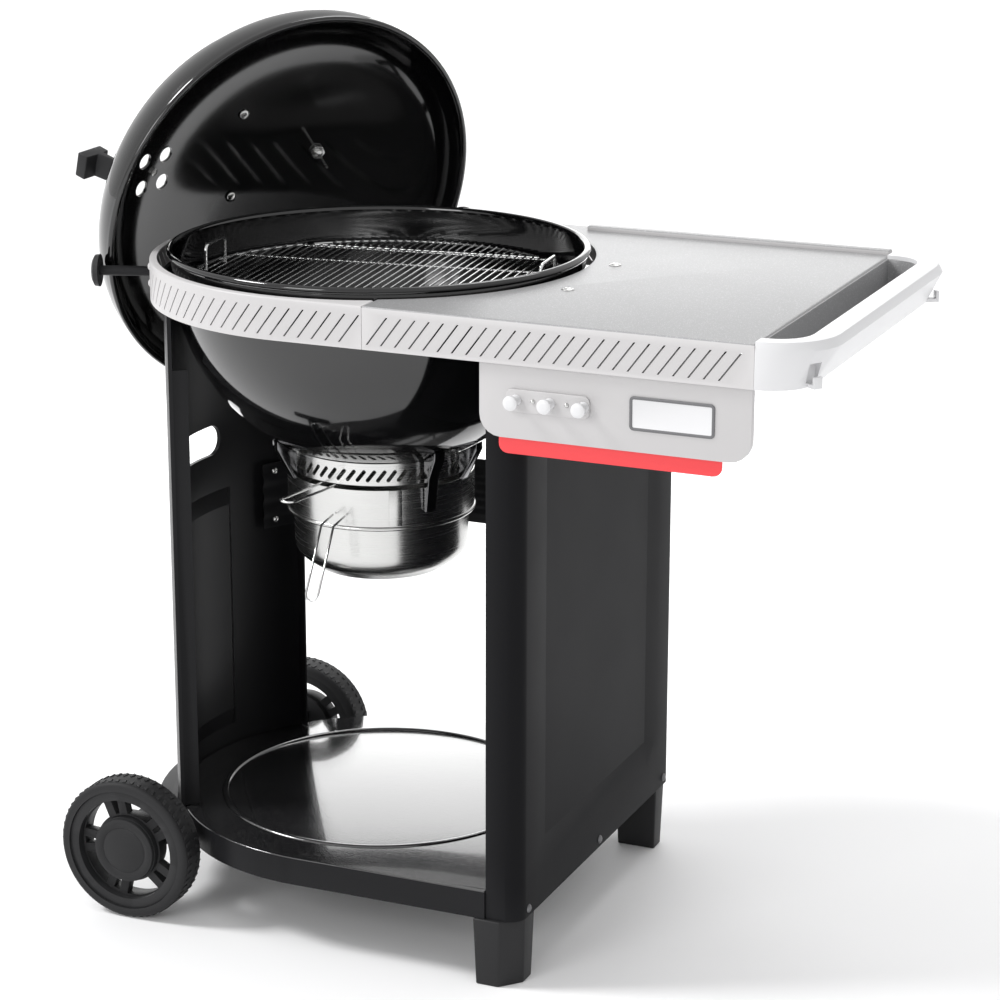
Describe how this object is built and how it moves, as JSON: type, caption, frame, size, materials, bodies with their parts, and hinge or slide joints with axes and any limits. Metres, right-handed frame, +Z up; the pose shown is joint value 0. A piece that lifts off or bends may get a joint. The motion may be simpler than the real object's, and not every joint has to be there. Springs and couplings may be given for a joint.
{
  "type": "kettle charcoal grill",
  "caption": "Kettle charcoal grill on a wheeled cart with a side table, lift-off lid, hinged cooking grate and one-touch ash sweep with bucket.",
  "frame": {"origin": "middle of the grill's plan box, on the floor", "axes": "+X along the cart towards the side table, -Y towards the front panel, +Z up"},
  "size_m": [1.2088, 0.7372, 1.2232],
  "materials": {
    "cart_black": "black powder coat, slightly glossy",
    "shelf_black": "black gloss powder coat with a fine hammered skin",
    "black_plastic": "fine-grained black plastic",
    "tyre_rubber": "dark grey moulded tread",
    "dark_steel": "plain dull steel",
    "light_grey": "light warm grey satin paint",
    "table_grey": "light grey metallic paint with a fine sparkle",
    "white_plastic": "white satin plastic",
    "red_paint": "coral red satin paint",
    "black_enamel": "black gloss vitreous enamel",
    "stainless": "stainless steel, brushed round its axis",
    "chrome_wire": "bright plated wire"
  },
  "bodies": {
    "cart": {"left_side_panel": "cart_black", "right_side_panel": "cart_black", "bottom_shelf": "shelf_black", "rear_crossbar": "cart_black", "front_foot": "black_plastic", "rear_foot": "black_plastic", "axle_housing": "black_plastic", "axle": "dark_steel", "frame_ring": "light_grey", "table_top": "table_grey", "end_handle": "white_plastic", "tool_tray": "table_grey", "front_panel": "light_grey", "accent_strip": "red_paint", "badge_plate": "dark_steel", "hook_plate": "light_grey", "tool_hook_1": "white_plastic", "tool_hook_2": "white_plastic", "tool_hook_3": "white_plastic", "table_screw_front": "stainless", "table_screw_rear": "stainless", "table_brace_front": "cart_black", "table_brace_rear": "cart_black", "lid_post_front": "cart_black", "lid_post_rear": "cart_black", "lid_post_cap_front": "black_plastic", "lid_post_cap_rear": "black_plastic", "lid_ledge": "cart_black", "bowl_bracket_1": "cart_black", "bowl_bracket_2": "cart_black", "bowl_bracket_3": "cart_black", "bowl": "black_enamel", "ash_bracket_1": "stainless", "ash_bracket_2": "stainless", "ash_bracket_3": "stainless", "ash_collar": "stainless", "charcoal_grate": "dark_steel"},
    "front_wheel": {"front_wheel": "black_plastic", "front_tyre": "tyre_rubber", "front_hub_cap": "black_plastic"},
    "rear_wheel": {"rear_wheel": "black_plastic", "rear_tyre": "tyre_rubber", "rear_hub_cap": "black_plastic"},
    "lid": {"lid": "black_enamel", "lid_handle": "black_plastic", "handle_heat_shield": "stainless", "lid_thermometer": "stainless"},
    "damper": {"damper_disc": "stainless", "damper_grip": "black_plastic"},
    "ash_sweep": {"sweep_blades": "dark_steel", "sweep_lever": "chrome_wire"},
    "ash_bucket": {"ash_bucket": "stainless"},
    "bucket_bail": {"bucket_bail": "chrome_wire"},
    "cooking_grate": {"cooking_grate": "chrome_wire"},
    "flap_rear": {"grate_flap_rear": "chrome_wire"},
    "flap_front": {"grate_flap_front": "chrome_wire"}
  },
  "joints": [
    {"name": "front_wheel_spin", "type": "hinge", "parent": "cart", "child": "front_wheel", "pos_m": [-0.387, -0.306, 0.1004], "axis": [0, 1, 0], "continuous": true},
    {"name": "rear_wheel_spin", "type": "hinge", "parent": "cart", "child": "rear_wheel", "pos_m": [-0.387, 0.229, 0.1004], "axis": [0, 1, 0], "continuous": true},
    {"name": "lid_lift", "type": "slide", "parent": "cart", "child": "lid", "axis": [0, 0, 1], "range_m": [0, 0.3]},
    {"name": "damper_turn", "type": "hinge", "parent": "lid", "child": "damper", "pos_m": [-0.51358, 0.029, 0.98486], "axis": [-0.9302, 0.2005, 0.3075], "range_deg": [0, 45]},
    {"name": "ash_sweep_turn", "type": "hinge", "parent": "cart", "child": "ash_sweep", "pos_m": [-0.124, -0.0385, 0.6132], "axis": [0, 0, 1], "range_deg": [0, 48]},
    {"name": "bucket_drop", "type": "slide", "parent": "cart", "child": "ash_bucket", "axis": [0, 0, -1], "range_m": [0, 0.12]},
    {"name": "bail_swing", "type": "hinge", "parent": "ash_bucket", "child": "bucket_bail", "pos_m": [-0.124, -0.1723, 0.574], "axis": [1, 0, 0], "range_deg": [-60, 30]},
    {"name": "grate_lift", "type": "slide", "parent": "cart", "child": "cooking_grate", "axis": [0, 0, 1], "range_m": [0, 0.18]},
    {"name": "flap_rear_hinge", "type": "hinge", "parent": "cooking_grate", "child": "flap_rear", "pos_m": [-0.14837, 0.16001, 0.875], "axis": [0.9925, 0.1219, 0], "range_deg": [0, 110]},
    {"name": "flap_front_hinge", "type": "hinge", "parent": "cooking_grate", "child": "flap_front", "pos_m": [-0.09963, -0.23701, 0.875], "axis": [-0.9925, -0.1219, 0], "range_deg": [0, 110]}
  ]
}
